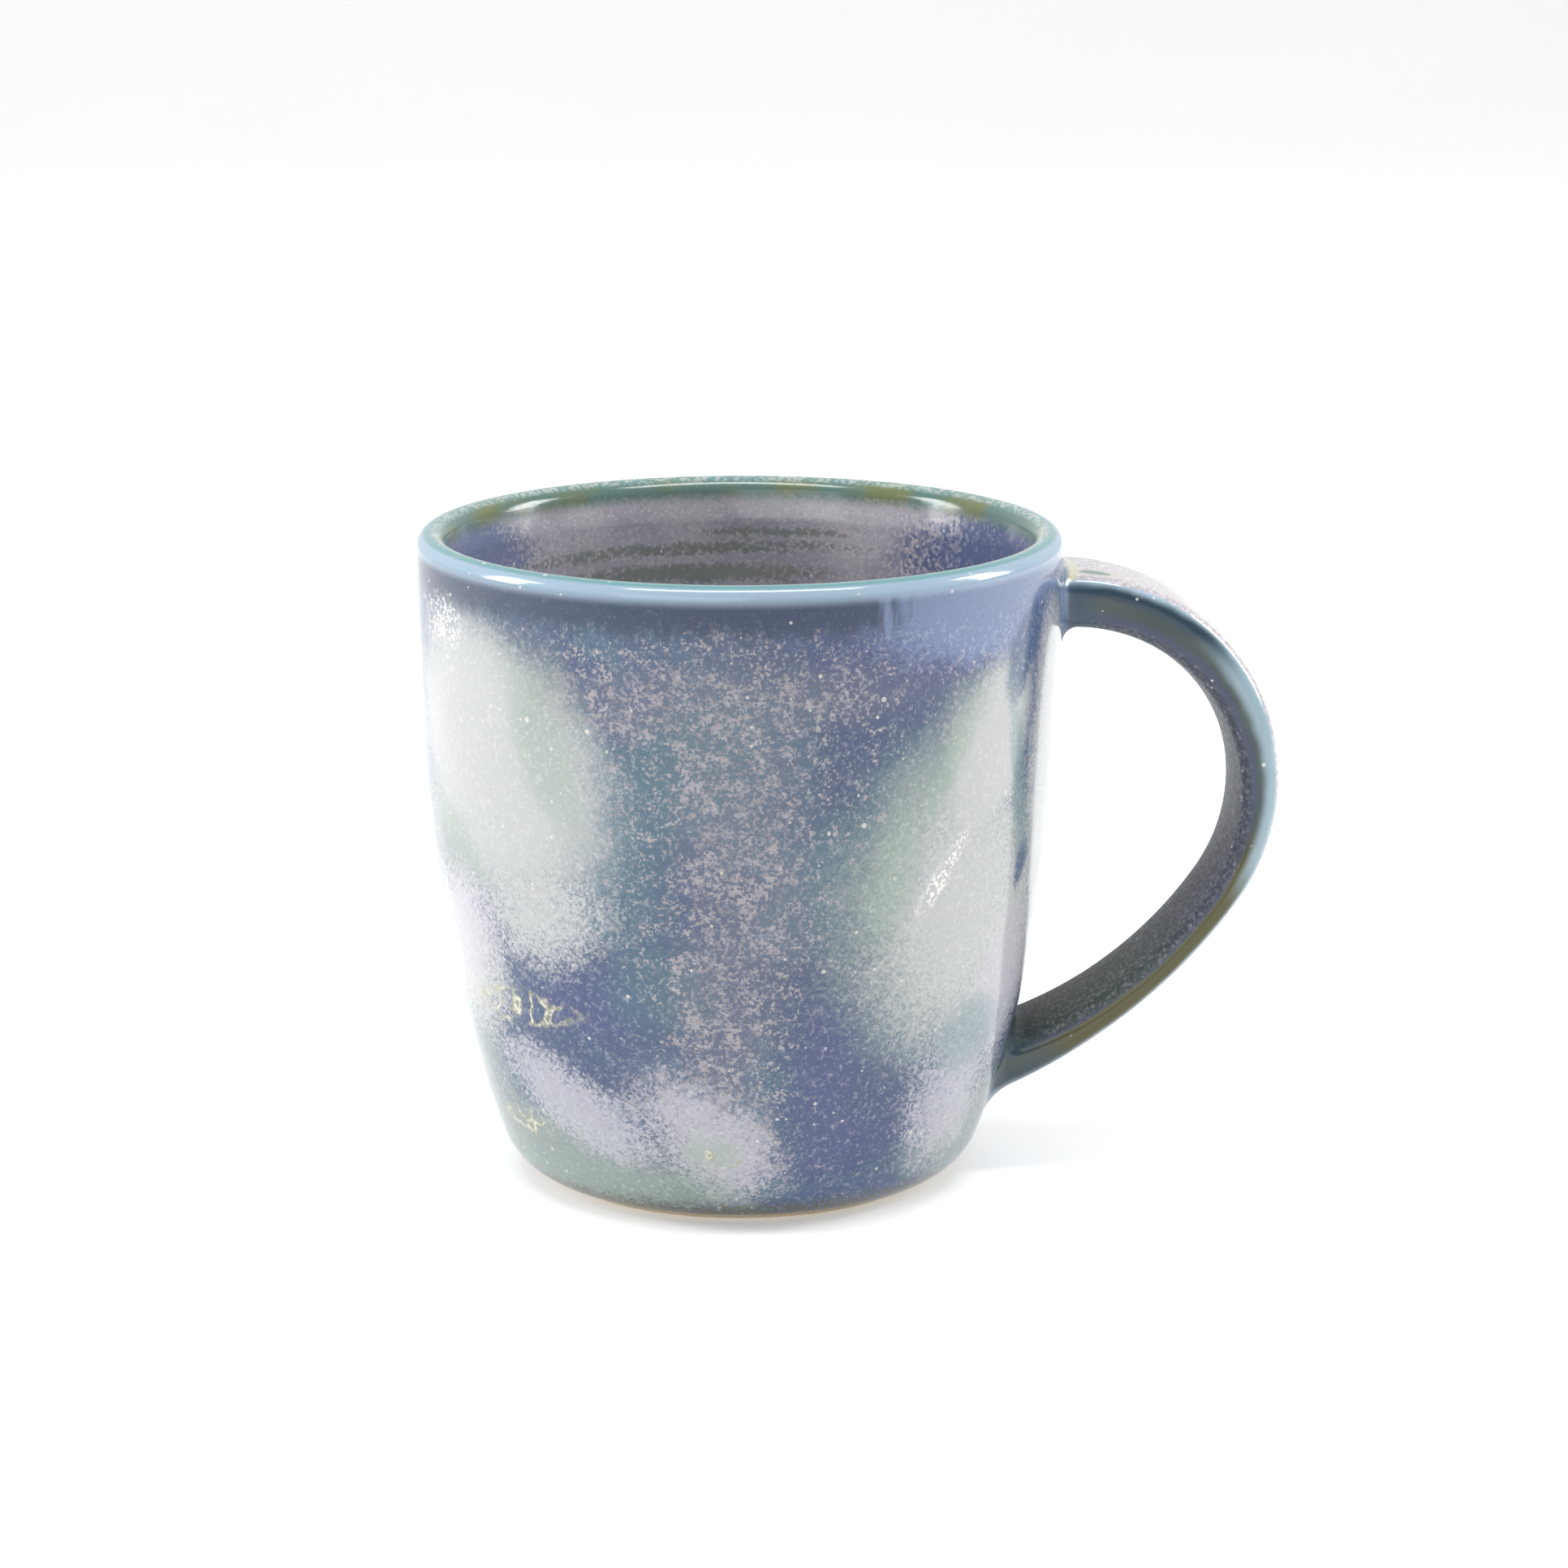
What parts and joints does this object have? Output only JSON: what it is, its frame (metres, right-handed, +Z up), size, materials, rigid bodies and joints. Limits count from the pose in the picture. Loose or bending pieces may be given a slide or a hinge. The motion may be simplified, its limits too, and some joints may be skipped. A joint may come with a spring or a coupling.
{
  "type": "ceramic mug",
  "caption": "Glazed stoneware mug with a softly tapered body, rounded lip, turned foot ring and one strap handle.",
  "frame": {"origin": "centre of the foot ring, on the surface the mug stands on", "axes": "+Z up along the cup's axis, +X out through the middle of the handle, +Y to the left of the handle"},
  "size_m": [0.1204, 0.09, 0.092],
  "materials": {
    "clay": "bare fired stoneware, fine sandy",
    "outside_glaze": "glossy reactive glaze, slate blue with pale green and pink-grey crystals",
    "inside_glaze": "glossy liner glaze, grey-mauve with dark olive and blue throwing marks",
    "base_glaze": "glossy glaze, plain slate",
    "handle_glaze": "glossy glaze, pale on the edges and green-grey on the flats"
  },
  "bodies": {
    "root": {"cup_body": "clay", "handle": "clay", "upper_handle_slip": "clay", "lower_handle_slip": "clay", "outside_glaze": "outside_glaze", "inside_glaze": "inside_glaze", "base_glaze": "base_glaze", "handle_glaze": "handle_glaze"}
  },
  "joints": []
}
